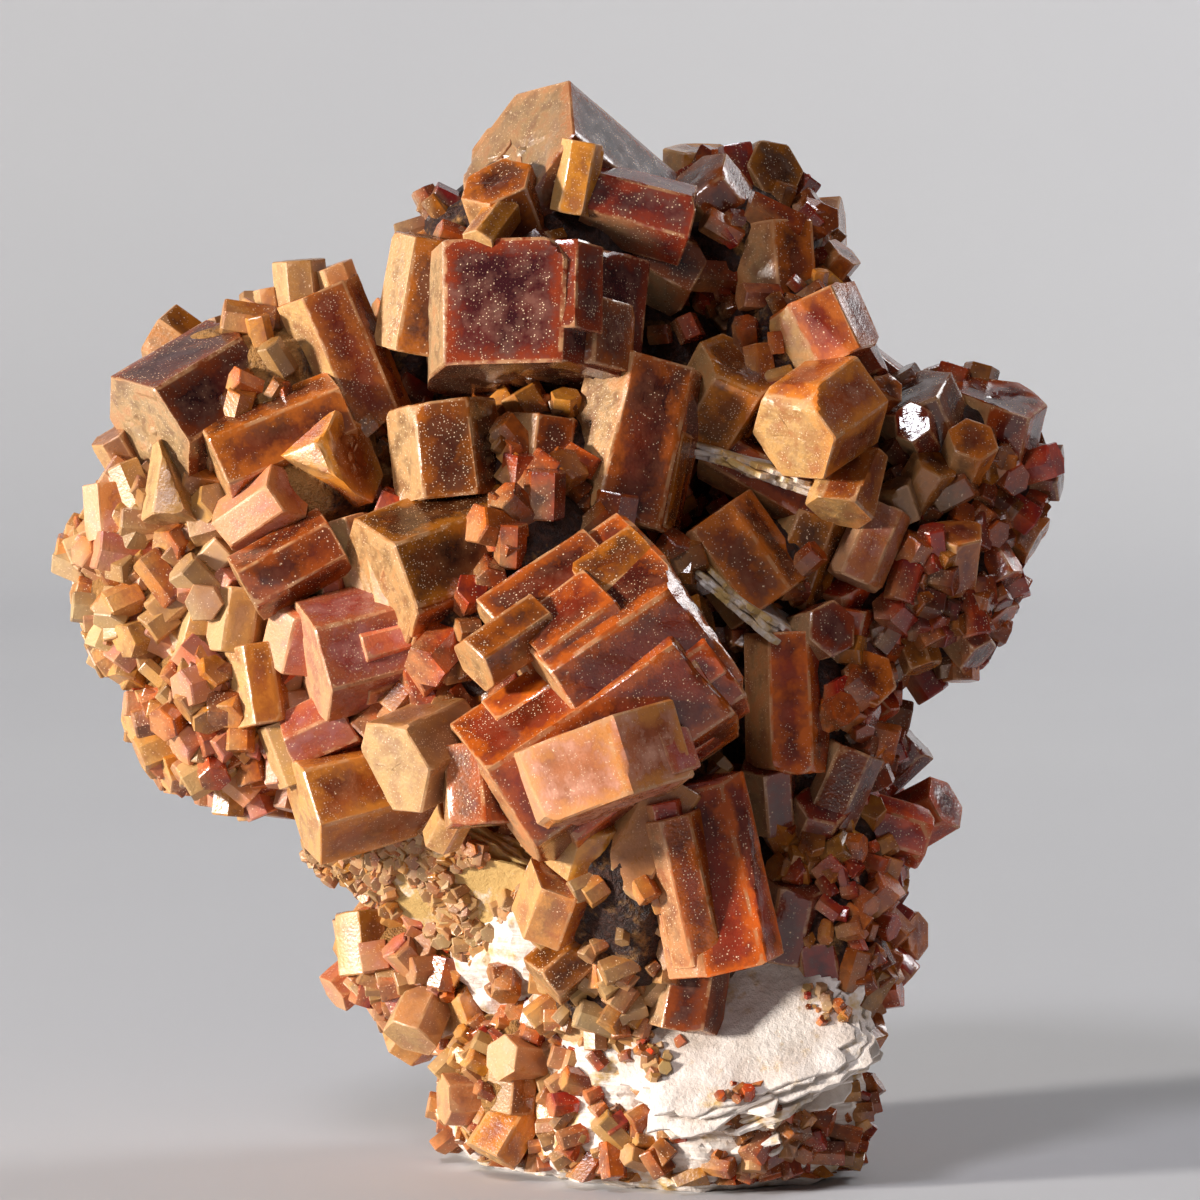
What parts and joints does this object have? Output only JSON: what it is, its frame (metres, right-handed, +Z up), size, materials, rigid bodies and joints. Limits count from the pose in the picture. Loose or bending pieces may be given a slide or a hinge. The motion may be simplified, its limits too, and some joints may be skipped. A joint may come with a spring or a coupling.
{
  "type": "vanadinite mineral specimen on matrix",
  "caption": "Upright cluster of red-brown and tan six-sided crystals on white baryte matrix, standing on a flat cut foot.",
  "frame": {"origin": "middle of the flat foot that the matrix stands on", "axes": "+Z up, +X to the right as seen from the front, -Y towards the viewer"},
  "size_m": [0.0395, 0.03, 0.0435],
  "materials": {
    "baryte": "rough white to cream baryte, in thin layers",
    "vanadinite_red": "glossy deep red to red-brown crystal with fine pale specks",
    "vanadinite_plum": "glossy dark plum crystal, frosted cream on some faces",
    "vanadinite_tan": "tan, pink and orange crystal, satin",
    "vanadinite_orange": "orange to brown crystal, satin to glossy",
    "vanadinite_brown": "brown crystal, satin"
  },
  "bodies": {
    "root": {"matrix": "baryte", "centre_crystals": "vanadinite_red", "crown_crystals": "vanadinite_plum", "left_crystals": "vanadinite_tan", "arm_crystals": "vanadinite_plum", "ridge_crystals": "vanadinite_orange", "right_crystals": "vanadinite_red", "foot_crystals": "vanadinite_orange", "back_crystals": "vanadinite_brown"}
  },
  "joints": []
}
